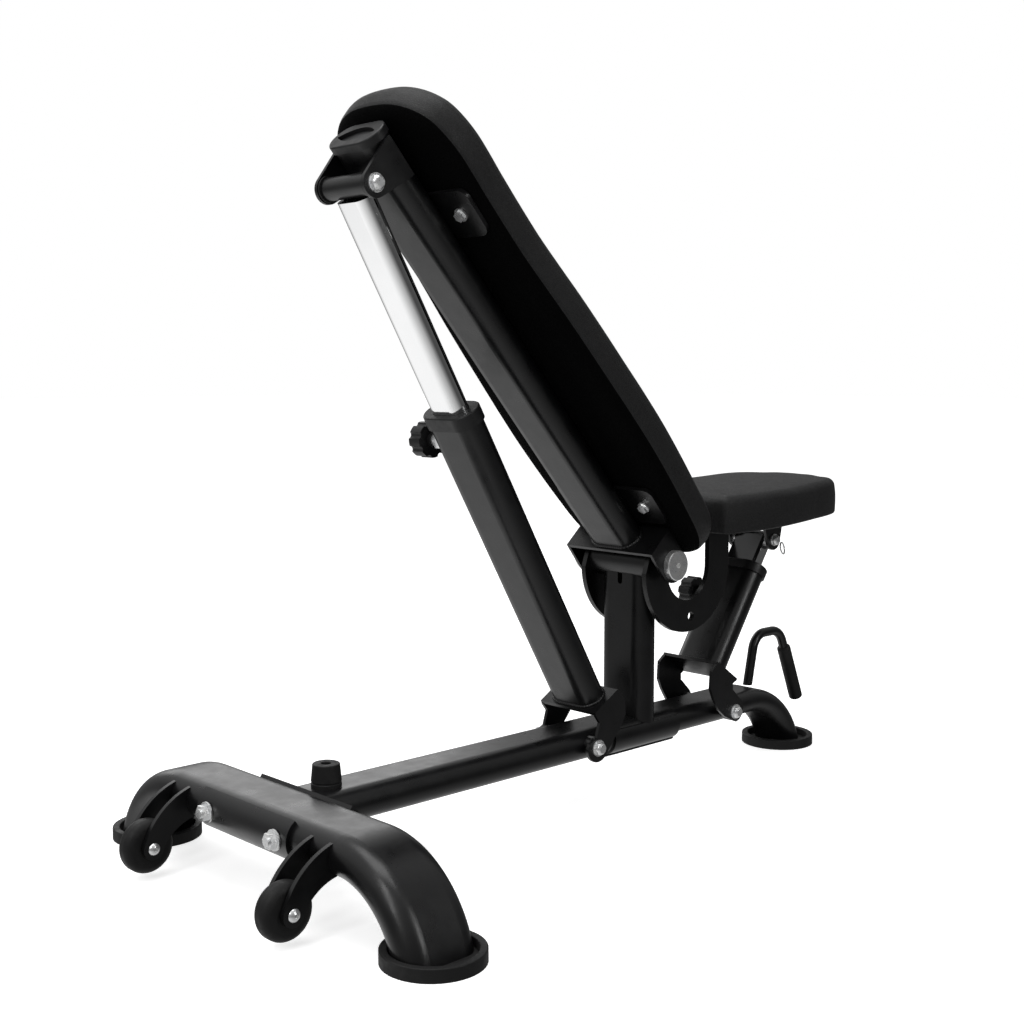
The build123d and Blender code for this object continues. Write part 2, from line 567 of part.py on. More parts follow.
def make_back():
    save("pivot_bracket", make_pivot_bracket())
    save("back_tube", make_back_tube())
    save("back_cap", make_back_cap())
    save("top_clevis", make_top_clevis())
    sleeve = ring_y(CLEVIS_X, CLEVIS_Z, -CLEVIS_HALF, CLEVIS_HALF, CLEVIS_SLEEVE_D, SMALL_PIN_D)
    save("clevis_sleeve", sleeve)
    collar = ring_y(CLEVIS_X, CLEVIS_Z, CLEVIS_HALF, CLEVIS_EAR_IN, 34, SMALL_PIN_D)
    save("clevis_bushes", both_sides(collar))
    bolt = bolt_y(CLEVIS_X, CLEVIS_Z, -CLEVIS_EAR_OUT, CLEVIS_EAR_OUT, SMALL_PIN_D, 18, 8, 24)
    save("clevis_bolt", list(bolt))
    save("pad_plates", [make_pad_plate(s) for s in PAD_PLATES])
    save("pad_screws", make_pad_screws())
    save("back_board", make_back_board())
    save("back_cushion", make_back_cushion())
    spacer = ring_y(PIVOT_X, PIVOT_Z, SIDE_PLATE_OUT + 0.3, EAR_OUT - BRACKET_T, 32, PIN_D + RUN)
    save("pivot_spacers", both_sides(spacer))
    save("pivot_bolt", make_pivot_bolt())


# ---------------------------------------------------------------- back strut
STRUT_ANGLE = 59.7
STRUT = (STRUT_BASE_X, STRUT_BASE_Z, STRUT_ANGLE)
STRUT_TOP = along(STRUT, CLEVIS_X, CLEVIS_Z)[0]
INNER_GAP = 15.5                                # from the clevis pin to the inner tube's cut end
INNER_L = 503.0
COLLAR_LOW, COLLAR_HIGH = 476.0, 496.0
LINER_LOW, LINER_HIGH = 330.0, 430.0
SLIDE_GAP = 0.4                                 # round the inner tube, in the liner and the collar
STRUT_PIN_S = 446.0
KNOB_D, KNOB_T = 50.0, 22.0
PLUNGER_D, PLUNGER_PIN_D = 18.0, 9.0
HOUSING_OUT, KNOB_IN = 60.0, 66.0               # faces of the plunger housing and of the knob


def make_strut_bracket():
    """Top plate across the strut's foot, and an ear each side down to its pivot."""
    span = 2 * PLATE_HALF
    flat = lean_plate(STRUT, Rectangle(BRACKET_T, span), -STRUT_EAR_OUT, STRUT_EAR_OUT)
    outline = make_face([
        Polyline((511, 142), (558, 174), (574, 154), (575.5, 134), (568, 121), (533, 80.5)),
        ThreePointArc((533, 80.5), (510.5, 73.7), (495, 95)),
        Polyline((495, 95), (499, 102), (513.7, 109), (520, 130), (511, 142)),
    ])
    ear = plate(outline, STRUT_EAR_OUT - BRACKET_T, STRUT_EAR_OUT)
    bracket = flat + ear + mirrored(ear)
    return bracket - rod_y(STRUT_X, STRUT_Z, -80, 80, SMALL_PIN_D + RUN)


def make_foot_bolt(x, ear_out):
    """Long flanged bolt and nut through a strut's foot; it turns with the strut."""
    gap = 0.3
    return list(bolt_y(x, TUBE_Z, -ear_out - gap, ear_out + gap, SMALL_PIN_D, 18, 8, 24))


def make_strut_tube(base, length, pin_s):
    tube = oval_tube(leaning_plane(*base), TUBE_W, TUBE_T, WALL, BRACKET_T / 2, length)
    return tube - lean_plate(base, Pos(pin_s, 0) * Circle(PLUNGER_D / 2), 20, 80)


def make_collar(base, low, high, tube_end, slot):
    """Plastic collar on the mouth of an outer tube, with a slot for the inner tube."""
    plane = leaning_plane(*base)
    collar = oval_bar(plane, TUBE_W + 6, TUBE_T + 6, low, high)
    collar = chamfer(collar.edges().group_by(Axis((0, 0, 0), plane.z_dir))[-1], 1.5)
    collar -= oval_bar(plane, TUBE_W, TUBE_T, low - 1, tube_end)
    return collar - extrude(plane.offset(low) * slot, amount=high + 1 - low)


def make_liner():
    plane = leaning_plane(*STRUT)
    outer = oval_bar(plane, TUBE_W - 2 * WALL - 0.8, TUBE_T - 2 * WALL - 0.8, LINER_LOW, LINER_HIGH)
    bore_w, bore_t = INNER_W + 2 * SLIDE_GAP, INNER_T + 2 * SLIDE_GAP
    return outer - oval_bar(plane, bore_w, bore_t, LINER_LOW - 1, LINER_HIGH + 1)


def make_inner_tube():
    top = STRUT_TOP - INNER_GAP
    tube = oval_tube(leaning_plane(*STRUT), INNER_W, INNER_T, 2.5, top - INNER_L, top)
    cover = oval_bar(leaning_plane(*STRUT), INNER_W - 5, INNER_T - 5, top - 4, top)
    tube += cover
    for step in range(7):
        tube -= lean_plate(STRUT, Pos(STRUT_PIN_S - step * 56, 0) * Circle(5.2), 10, 40)
    return tube


def make_plunger(base, s, tip):
    """Spring plunger pin that runs in its housing on the +Y side."""
    return lean_plate(base, Pos(s, 0) * Circle(PLUNGER_PIN_D / 2), tip, HOUSING_OUT + 6)


def make_housing(base, s):
    body = lean_plate(base, Pos(s, 0) * Circle(PLUNGER_D / 2), TUBE_W / 2 - 4, HOUSING_OUT)
    flats = Pos(s, 0) * RegularPolygon(11, 6, major_radius=False)
    hexagon = lean_plate(base, flats, TUBE_W / 2, HOUSING_OUT - 6)
    return (body + hexagon) - lean_plate(base, Pos(s, 0) * Circle(PLUNGER_PIN_D / 2 + RUN / 2), 0, 100)


def make_knob(base, s):
    """Star knob with eight lobes."""
    star = Circle(KNOB_D / 2)
    for i in range(8):
        star -= Rot(0, 0, i * 45) * Pos(KNOB_D / 2 + 2, 0) * Circle(5)
    knob = lean_plate(base, Pos(s, 0) * star, KNOB_IN, KNOB_IN + KNOB_T)
    knob += lean_plate(base, Pos(s, 0) * Circle(11), HOUSING_OUT + 0.5, KNOB_IN)
    return knob - lean_plate(base, Pos(s, 0) * Circle(PLUNGER_PIN_D / 2), 0, HOUSING_OUT + 6)


def make_strut():
    save("strut_bracket", make_strut_bracket())
    save("strut_foot_bolt", make_foot_bolt(STRUT_X, STRUT_EAR_OUT))
    save("strut_tube", make_strut_tube(STRUT, STRUT_OUTER_L, STRUT_PIN_S))
    slot = oval(INNER_W + 2 * SLIDE_GAP, INNER_T + 2 * SLIDE_GAP)
    save("strut_collar", make_collar(STRUT, COLLAR_LOW, COLLAR_HIGH, STRUT_OUTER_L, slot))
    save("strut_liner", make_liner())
    save("strut_inner_tube", make_inner_tube())
    save("strut_plunger_housing", make_housing(STRUT, STRUT_PIN_S))
    save("strut_plunger", make_plunger(STRUT, STRUT_PIN_S, INNER_W / 2 + 0.5))
    save("strut_knob", make_knob(STRUT, STRUT_PIN_S))


# ---------------------------------------------------------------- seat
SEAT = (SEAT_REAR_X, SEAT_REAR_Z, 180 - SEAT_TILT)
SEAT_LEAN = degrees(atan2(SEAT_CLEVIS_Z - SEAT_STRUT_BASE_Z, SEAT_CLEVIS_X - SEAT_STRUT_BASE_X))
SEAT_STRUT = (SEAT_STRUT_BASE_X, SEAT_STRUT_BASE_Z, 180 - SEAT_LEAN)
SEAT_STRUT_TOP = along(SEAT_STRUT, SEAT_CLEVIS_X, SEAT_CLEVIS_Z)[0]
SEAT_EAR_OUT = STRUT_EAR_OUT
SEAT_PIN_S = 130.0
SEAT_BAR_W, SEAT_BAR_T = 60.0, 26.0
SEAT_BAR_LOW = 14.0                             # where the bar starts, above the strut bracket
SEAT_CLEVIS_PIN_D, SEAT_PIN_GAP, SEAT_CLEVIS_IN = 10.0, 1.5, 36.0
PIVOT_LOBE = 31.0                               # radius of the side plate round the pivot
SEAT_INSET = 8.0                                # board's edge inside the cushion's
SIDE_HOLE = (712.5, 265.0)


def seat_plane(height):
    """Plane of the seat's underside, raised by height: local x runs to the front, local y to +Y."""
    t = radians(SEAT_TILT)
    return Plane(origin=(SEAT_REAR_X - height * sin(t), 0, SEAT_REAR_Z + height * cos(t)),
                 x_dir=(cos(t), 0, sin(t)), z_dir=(-sin(t), 0, cos(t)))


def seat_outline(inset):
    """Seat seen from above: widest a third of the way along, with a round front."""
    side = Spline((10, 111 - inset), (95, 131 - inset), (230, 120 - inset), (290, 110 - inset),
                  tangents=((1, 0.5), (1, -0.22)))
    nose = Spline((290, 110 - inset), (332 - inset / 2, 68 - inset / 2), (SEAT_L - inset, 0),
                  tangents=((1, -0.22), (0, -1)))
    rear = [(inset, 0), (inset, 100 - inset), (10, 111 - inset)]
    straight = [Line((SEAT_L - inset, 0), rear[0]), Line(rear[0], rear[1]), Line(rear[1], rear[2])]
    half = make_face(straight + [side, nose])
    return half + mirror(half, about=Plane.XZ)


def make_side_plate():
    """U-shaped plate: one arm turns on the pivot, the other carries the seat."""
    top = SEAT_REAR_Z + 20
    arm_in = HOOP_X + HOOP_IN
    shape = Pos(HOOP_X, HOOP_Z) * Circle(HOOP_OUT)
    shape += Pos(HOOP_X + HOOP_OUT / 2, (HOOP_Z + top) / 2) * Rectangle(HOOP_OUT, top - HOOP_Z)
    shape -= Pos(HOOP_X, HOOP_Z) * Circle(HOOP_IN)
    shape -= Pos(arm_in - 200, HOOP_Z + 100) * Rectangle(400, 200)
    pivot = Pos(PIVOT_X, PIVOT_Z) * Circle(PIVOT_LOBE)
    arm_top = Pos(HOOP_X - (HOOP_OUT + HOOP_IN) / 2, HOOP_Z - 2) * Rectangle(HOOP_OUT - HOOP_IN, 2)
    shape += hull(pivot, arm_top)
    flat = plate(shape, SIDE_PLATE_OUT - SIDE_PLATE_T, SIDE_PLATE_OUT)
    flat -= rod_y(PIVOT_X, PIVOT_Z, 0, 100, PIN_D + RUN)
    flat -= rod_y(*SIDE_HOLE, 0, 100, 14)
    flat -= extrude(seat_plane(0) * Rectangle(1200, 400), amount=300)
    return flat


def make_seat_plate():
    """Steel plate under the seat board, between and in front of the side plates."""
    inner = SIDE_PLATE_OUT - SIDE_PLATE_T
    outline = Pos(135, 0) * RectangleRounded(250, 2 * inner, 10)
    return extrude(seat_plane(-6) * outline, amount=6)


def make_seat_clevis():
    s, h = along(SEAT, SEAT_CLEVIS_X, SEAT_CLEVIS_Z)
    outline = hull(Pos(s, h) * Circle(17), Pos(s, 7) * Rectangle(52, 2))
    ear = lean_plate(SEAT, outline, SEAT_CLEVIS_IN, SEAT_CLEVIS_IN + 5)
    ear -= rod_y(SEAT_CLEVIS_X, SEAT_CLEVIS_Z, 0, 100, SEAT_CLEVIS_PIN_D)
    return both_sides(ear)


def make_seat_strut_bracket():
    span = 2 * PLATE_HALF + 4
    flat = lean_plate(SEAT_STRUT, Rectangle(BRACKET_T, span), -SEAT_EAR_OUT, SEAT_EAR_OUT)
    outline = make_face([
        Polyline((790.7, 177.3), (843, 146.2), (831.8, 140.5), (832, 130.7), (852, 112)),
        ThreePointArc((852, 112), (858, 90), (841, 77)),
        Polyline((841, 77), (812.4, 90), (796.8, 102.5), (783.7, 122.3), (775.7, 139.5), (777.6, 168),
                 (790.7, 177.3)),
    ])
    ear = plate(outline, SEAT_EAR_OUT - BRACKET_T, SEAT_EAR_OUT)
    bracket = flat + ear + mirrored(ear)
    return bracket - rod_y(SEAT_STRUT_X, TUBE_Z, -80, 80, SMALL_PIN_D + RUN)


def seat_bar_section(gap):
    section = Rectangle(SEAT_BAR_W + 2 * gap, SEAT_BAR_T + 2 * gap)
    return chamfer(section.vertices(), 4)


def make_seat_bar():
    """Solid flat bar with bevelled edges and a row of holes."""
    top = SEAT_STRUT_TOP + SEAT_BAR_T / 2
    start = leaning_plane(*SEAT_STRUT).offset(SEAT_BAR_LOW)
    bar = extrude(start * seat_bar_section(0), amount=top - SEAT_BAR_LOW)
    round_end = Pos(SEAT_STRUT_TOP, 0) * Circle(SEAT_BAR_T / 2)
    outline = hull(round_end, Pos(SEAT_BAR_LOW, 0) * Rectangle(1, SEAT_BAR_T))
    bar &= lean_plate(SEAT_STRUT, outline, -SEAT_BAR_W, SEAT_BAR_W)
    bar -= rod_y(SEAT_CLEVIS_X, SEAT_CLEVIS_Z, -60, 60, SEAT_CLEVIS_PIN_D + 2 * SEAT_PIN_GAP)
    for step in range(3):
        s = SEAT_PIN_S - step * 34
        bar -= lean_plate(SEAT_STRUT, Pos(s, 0) * Circle(5.2), -60, 60)
    return bar


def make_seat():
    save("side_plates", both_sides(make_side_plate()))
    save("seat_plate", make_seat_plate())
    save("seat_clevis", make_seat_clevis())
    washer = ring_y(SEAT_CLEVIS_X, SEAT_CLEVIS_Z, SEAT_BAR_W / 2 + 0.5, SEAT_CLEVIS_IN, 24, SEAT_CLEVIS_PIN_D)
    save("seat_clevis_washers", both_sides(washer))
    reach = SEAT_CLEVIS_IN + 5
    bolt = bolt_y(SEAT_CLEVIS_X, SEAT_CLEVIS_Z, -reach, reach, SEAT_CLEVIS_PIN_D, 16, 7, 20)
    save("seat_clevis_bolt", list(bolt))
    save("seat_board", extrude(seat_plane(0) * seat_outline(SEAT_INSET), amount=SEAT_BOARD_T))
    cushion = extrude(seat_plane(SEAT_BOARD_T) * seat_outline(0), amount=SEAT_T - SEAT_BOARD_T)
    save("seat_cushion", rounded_top(cushion, seat_plane(0).z_dir))
    save("seat_strut_bracket", make_seat_strut_bracket())
    save("seat_strut_foot_bolt", make_foot_bolt(SEAT_STRUT_X, SEAT_EAR_OUT))
    save("seat_strut_tube", make_strut_tube(SEAT_STRUT, SEAT_OUTER_L, SEAT_PIN_S))
    slot = seat_bar_section(SLIDE_GAP)
    collar = make_collar(SEAT_STRUT, SEAT_OUTER_L - 4, SEAT_OUTER_L + 12, SEAT_OUTER_L, slot)
    save("seat_strut_collar", collar)
    save("seat_strut_bar", make_seat_bar())
    save("seat_plunger_housing", make_housing(SEAT_STRUT, SEAT_PIN_S))
    save("seat_plunger", make_plunger(SEAT_STRUT, SEAT_PIN_S, SEAT_BAR_W / 2 + 0.5))
    save("seat_knob", make_knob(SEAT_STRUT, SEAT_PIN_S))


make_base()
make_back()
make_strut()
make_seat()
for name, solids in parts.items():
    moved = [s.moved(Location((-ORIGIN_X, 0, 0))) for s in solids]
    export_step(Compound(children=moved) if len(moved) > 1 else moved[0], f"parts/{name}.step")
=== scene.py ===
"""Adjustable weight bench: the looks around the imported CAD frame. Metres, in the CAD's frame."""

from math import cos, pi, radians, sin

import bmesh
import bpy
import numpy as np
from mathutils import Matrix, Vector


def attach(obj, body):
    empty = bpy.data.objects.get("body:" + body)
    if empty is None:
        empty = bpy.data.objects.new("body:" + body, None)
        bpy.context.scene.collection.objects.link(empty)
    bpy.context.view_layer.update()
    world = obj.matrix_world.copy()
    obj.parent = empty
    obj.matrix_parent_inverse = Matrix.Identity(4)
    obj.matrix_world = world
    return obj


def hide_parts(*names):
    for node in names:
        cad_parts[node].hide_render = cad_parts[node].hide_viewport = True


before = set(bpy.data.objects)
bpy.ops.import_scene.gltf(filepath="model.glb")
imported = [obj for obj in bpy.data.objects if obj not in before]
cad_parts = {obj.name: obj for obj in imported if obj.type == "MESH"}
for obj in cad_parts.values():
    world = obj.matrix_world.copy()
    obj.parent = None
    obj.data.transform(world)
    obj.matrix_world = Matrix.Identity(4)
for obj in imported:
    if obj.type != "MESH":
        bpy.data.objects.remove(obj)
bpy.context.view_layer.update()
scene = bpy.context.scene

# ---------------------------------------------------------------- places taken from the CAD, in metres
ORIGIN_X = 0.480
ACROSS = Vector((0.0, 1.0, 0.0))
BACK_ANGLE = radians(48.0)
BACK_BASE = Vector((0.6175 - ORIGIN_X, 0.0, 0.388))
BACK_ALONG = Vector((-cos(BACK_ANGLE), 0.0, sin(BACK_ANGLE)))
BACK_UP = Vector((sin(BACK_ANGLE), 0.0, cos(BACK_ANGLE)))
SEAT_ANGLE = radians(2.5)
SEAT_BASE = Vector((0.733 - ORIGIN_X, 0.0, 0.3907))
SEAT_ALONG = Vector((cos(SEAT_ANGLE), 0.0, sin(SEAT_ANGLE)))
SEAT_UP = Vector((-sin(SEAT_ANGLE), 0.0, cos(SEAT_ANGLE)))


# ---------------------------------------------------------------- small builders
def mesh_object(name, verts, faces, smooth=True):
    mesh = bpy.data.meshes.new(name)
    mesh.from_pydata([tuple(v) for v in verts], [], faces)
    mesh.update()
    obj = bpy.data.objects.new(name, mesh)
    scene.collection.objects.link(obj)
    if smooth:
        mesh.polygons.foreach_set("use_smooth", [True] * len(mesh.polygons))
    return obj


def dress(obj, body, material):
    """A new piece takes its material and slot, and rides on its body."""
    obj.data.materials.clear()
    obj.data.materials.append(material)
    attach(obj, body)
    return obj


def select_only(obj):
    for other in bpy.context.selected_objects:
        other.select_set(False)
    obj.select_set(True)
    bpy.context.view_layer.objects.active = obj


# ---------------------------------------------------------------- node helpers
class Nodes:
    """A material's node tree, with short calls for the nodes that repeat."""

    def __init__(self, name):
        self.material = bpy.data.materials.new(name)
        self.material.use_nodes = True
        self.tree = self.material.node_tree
        self.shader = self.tree.nodes["Principled BSDF"]
        self.coords = self.tree.nodes.new("ShaderNodeTexCoord").outputs["Object"]

    def new(self, kind, **values):
        node = self.tree.nodes.new(kind)
        for key, value in values.items():
            setattr(node, key, value)
        return node

    def link(self, a, b):
        self.tree.links.new(a, b)

    def set(self, **values):
        for key, value in values.items():
            self.shader.inputs[key.replace("_", " ")].default_value = value

    def noise(self, scale, detail=4.0, rough=0.55, stretch=None):
        node = self.new("ShaderNodeTexNoise")
        node.inputs["Scale"].default_value = scale
        node.inputs["Detail"].default_value = detail
        node.inputs["Roughness"].default_value = rough
        self.link(self.stretched(stretch), node.inputs["Vector"])
        return node.outputs["Fac"]

    def voronoi(self, scale, feature="F1", randomness=1.0, vector=None):
        node = self.new("ShaderNodeTexVoronoi", feature=feature)
        node.inputs["Scale"].default_value = scale
        node.inputs["Randomness"].default_value = randomness
        self.link(vector or self.coords, node.inputs["Vector"])
        return node.outputs["Distance"]

    def stretched(self, stretch):
        if stretch is None:
            return self.coords
        node = self.new("ShaderNodeMapping")
        node.inputs["Scale"].default_value = stretch
        self.link(self.coords, node.inputs["Vector"])
        return node.outputs["Vector"]

    def remap(self, value, low, high, to_low, to_high):
        node = self.new("ShaderNodeMapRange", interpolation_type="SMOOTHSTEP")
        for key, number in zip(("From Min", "From Max", "To Min", "To Max"), (low, high, to_low, to_high)):
            node.inputs[key].default_value = number
        self.link(value, node.inputs["Value"])
        return node.outputs["Result"]

    def mixed(self, factor, colour_a, colour_b):
        node = self.new("ShaderNodeMix", data_type="RGBA")
        node.inputs[6].default_value = (*colour_a, 1.0)
        node.inputs[7].default_value = (*colour_b, 1.0)
        self.link(factor, node.inputs[0])
        return node.outputs[2]

    def math(self, operation, a, b):
        node = self.new("ShaderNodeMath", operation=operation)
        for place, value in enumerate((a, b)):
            if isinstance(value, (int, float)):
                node.inputs[place].default_value = value
            else:
                self.link(value, node.inputs[place])
        return node.outputs[0]

    def bumped(self, *layers):
        """Bump layers, each (height, strength, distance in metres)."""
        normal = None
        for height, strength, distance in layers:
            node = self.new("ShaderNodeBump")
            node.inputs["Strength"].default_value = strength
            node.inputs["Distance"].default_value = distance
            self.link(height, node.inputs["Height"])
            if normal is not None:
                self.link(normal, node.inputs["Normal"])
            normal = node.outputs["Normal"]
        self.link(normal, self.shader.inputs["Normal"])

    def colour(self, output):
        self.link(output, self.shader.inputs["Base Color"])

    def roughness(self, output):
        self.link(output, self.shader.inputs["Roughness"])


# ---------------------------------------------------------------- materials
def powder_coat():
    """Satin black powder coat: a fine orange peel and slight patches of more and less gloss."""
    m = Nodes("powder_coat")
    m.set(Specular_IOR_Level=0.5)
    patches = m.remap(m.noise(5.0), 0.35, 0.7, 0.0, 1.0)
    m.colour(m.mixed(patches, (0.0045, 0.0045, 0.0049), (0.0070, 0.0070, 0.0075)))
    m.roughness(m.remap(m.noise(38.0, 5.0), 0.3, 0.7, 0.27, 0.35))
    m.bumped((m.noise(240.0, 2.0), 0.10, 0.0006), (m.noise(1500.0, 2.0), 0.10, 0.00008))
    return m.material


def zinc():
    """Bright zinc plate with fine machining marks and faint stains."""
    m = Nodes("zinc_plate")
    m.set(Metallic=0.82)
    m.colour(m.mixed(m.remap(m.noise(90.0), 0.3, 0.75, 0.0, 1.0), (0.84, 0.85, 0.86), (0.93, 0.93, 0.92)))
    m.roughness(m.remap(m.noise(160.0, 5.0), 0.3, 0.7, 0.26, 0.34))
    m.bumped((m.noise(420.0, 3.0, stretch=(1.0, 9.0, 1.0)), 0.05, 0.0002))
    return m.material


def chrome():
    """Polished chrome plate on drawn tube: nearly a mirror, with faint lengthwise draw marks."""
    m = Nodes("chrome_plate")
    m.set(Metallic=1.0)
    m.colour(m.mixed(m.noise(24.0), (0.90, 0.905, 0.91), (0.95, 0.95, 0.95)))
    m.roughness(m.remap(m.noise(55.0, 4.0), 0.3, 0.7, 0.07, 0.13))
    m.bumped((m.noise(180.0, 2.0, stretch=(1.0, 5.0, 1.0)), 0.05, 0.0003))
    return m.material


def rubber():
    """Moulded rubber: matt, with a fine grain and a little dust in its low places."""
    m = Nodes("moulded_rubber")
    m.set(Specular_IOR_Level=0.32)
    dust = m.remap(m.noise(26.0), 0.4, 0.75, 0.0, 1.0)
    m.colour(m.mixed(dust, (0.0075, 0.0075, 0.0078), (0.0145, 0.0142, 0.014)))
    m.roughness(m.remap(m.noise(90.0, 4.0), 0.3, 0.7, 0.52, 0.68))
    m.bumped((m.noise(700.0, 3.0), 0.22, 0.0003))
    return m.material


def black_plastic():
    """Moulded plastic with a spark-eroded texture."""
    m = Nodes("moulded_plastic")
    m.set(Specular_IOR_Level=0.4)
    m.colour(m.mixed(m.noise(18.0), (0.007, 0.007, 0.0075), (0.011, 0.011, 0.0115)))
    m.roughness(m.remap(m.noise(70.0, 3.0), 0.3, 0.7, 0.38, 0.5))
    m.bumped((m.voronoi(900.0), 0.16, 0.0002))
    return m.material


def bush_plastic():
    """Glass-filled nylon of the bushes: dark, with short pale fibres in it."""
    m = Nodes("bush_nylon")
    m.set(Specular_IOR_Level=0.4)
    fibres = m.remap(m.noise(800.0, 2.0, stretch=(1.0, 6.0, 1.0)), 0.58, 0.72, 0.0, 1.0)
    m.colour(m.mixed(fibres, (0.012, 0.012, 0.012), (0.022, 0.022, 0.022)))
    m.roughness(m.remap(m.noise(60.0), 0.3, 0.7, 0.42, 0.55))
    m.bumped((m.noise(500.0, 3.0), 0.12, 0.0002))
    return m.material


def pebbled(name, crease_shade_and_cell_colours, rough, specular, strength):
    """Pebble-grain vinyl: irregular rounded cells with creases between them, over a slow waver. Its colour is
    darker in the creases, as painted shade.
    """
    m = Nodes(name)
    m.set(Specular_IOR_Level=specular)
    warp = m.new("ShaderNodeTexNoise")
    warp.inputs["Scale"].default_value = 160.0
    m.link(m.coords, warp.inputs["Vector"])
    shifted = m.new("ShaderNodeVectorMath", operation="MULTIPLY_ADD")
    shifted.inputs[1].default_value = (0.0022, 0.0022, 0.0022)
    m.link(warp.outputs["Color"], shifted.inputs[0])
    m.link(m.coords, shifted.inputs[2])
    creases = m.remap(m.voronoi(430.0, "DISTANCE_TO_EDGE", vector=shifted.outputs[0]), 0.0, 0.28, 0.0, 1.0)
    fine = m.voronoi(1300.0, vector=shifted.outputs[0])
    # the creases take the darker colour: painted shade in the grain's creases
    m.colour(m.mixed(creases, *crease_shade_and_cell_colours))
    m.roughness(m.remap(m.math("MULTIPLY", creases, m.noise(70.0, 4.0)), 0.15, 0.6, rough + 0.14, rough))
    m.bumped((m.noise(45.0, 3.0), 0.10, 0.002), (creases, strength, 0.0006), (fine, 0.12, 0.0002))
    return m.material


MATERIALS = {
    "frame_coating": powder_coat(),
    "zinc": zinc(),
    "chrome_tube": chrome(),
    "rubber": rubber(),
    "black_plastic": black_plastic(),
    "bush_plastic": bush_plastic(),
    # the cloth under the pads is matt, and its colours are darker still: painted shade under the pads
    "underside": pebbled(
        "underside_cloth_painted_shade", ((0.0006, 0.0006, 0.0006), (0.0016, 0.0016, 0.0017)), 0.8, 0.06, 0.3),
    "vinyl": pebbled("pebble_vinyl", ((0.004, 0.004, 0.0042), (0.0095, 0.0095, 0.010)), 0.42, 0.36, 0.42),
}
MATERIALS["board"] = MATERIALS["vinyl"]         # never shown, since the upholstery stands for the boards
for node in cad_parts.values():
    for place in node.material_slots:
        place.material = MATERIALS[place.material.name.split(".")[0]]


# ---------------------------------------------------------------- upholstery
def curve_through(points, per_span):
    """Points along a centripetal Catmull-Rom curve through the given ones."""
    p = np.array(points, float)
    p = np.vstack([2 * p[0] - p[1], p, 2 * p[-1] - p[-2]])
    found = []
    for k in range(1, len(p) - 2):
        knots = [0.0]
        for a, b in zip(p[k - 1:k + 2], p[k:k + 3]):
            knots.append(knots[-1] + np.linalg.norm(b - a) ** 0.5)
        for t in np.linspace(knots[1], knots[2], per_span, endpoint=False):
            layer = list(p[k - 1:k + 3])
            for step in (1, 2, 3):
                spans = [(knots[j], knots[j + step]) for j in range(len(layer) - 1)]
                layer = [
                    (layer[j] * (high - t) + layer[j + 1] * (t - low)) / (high - low)
                    for j, (low, high) in enumerate(spans)
                ]
            found.append(layer[0])
    found.append(p[-2])
    return np.array(found)


def evenly(points, spacing):
    """The polyline's points again, at an even spacing."""
    lengths = np.concatenate([[0.0], np.cumsum(np.linalg.norm(np.diff(points, axis=0), axis=1))])
    count = max(2, int(round(lengths[-1] / spacing)) + 1)
    at = np.linspace(0.0, lengths[-1], count)
    return np.stack([np.interp(at, lengths, points[:, k]) for k in (0, 1)], axis=1)


def closed_outline(half, spacing):
    """A pad's whole outline from its half on the +Y side, which runs from its low end to its far end."""
    side = evenly(half, spacing)
    return np.vstack([side, (side * (1, -1))[-2:0:-1]])


def inward(outline):
    """Unit normals of the outline that point into it, smoothed a little at its corners."""
    ahead = np.roll(outline, -1, axis=0) - np.roll(outline, 1, axis=0)
    normals = np.stack([ahead[:, 1], -ahead[:, 0]], axis=1)
    for _ in range(2):
        normals = normals + 0.5 * (np.roll(normals, 1, axis=0) + np.roll(normals, -1, axis=0))
    return normals / np.linalg.norm(normals, axis=1)[:, None]


def spine_of(outline, margin):
    """For each outline point, where its line ends on the pad's middle line."""
    low, high = outline[:, 0].min() + margin, outline[:, 0].max() - margin
    return np.stack([np.clip(outline[:, 0], low, high), outline[:, 1] * 0.0], axis=1)


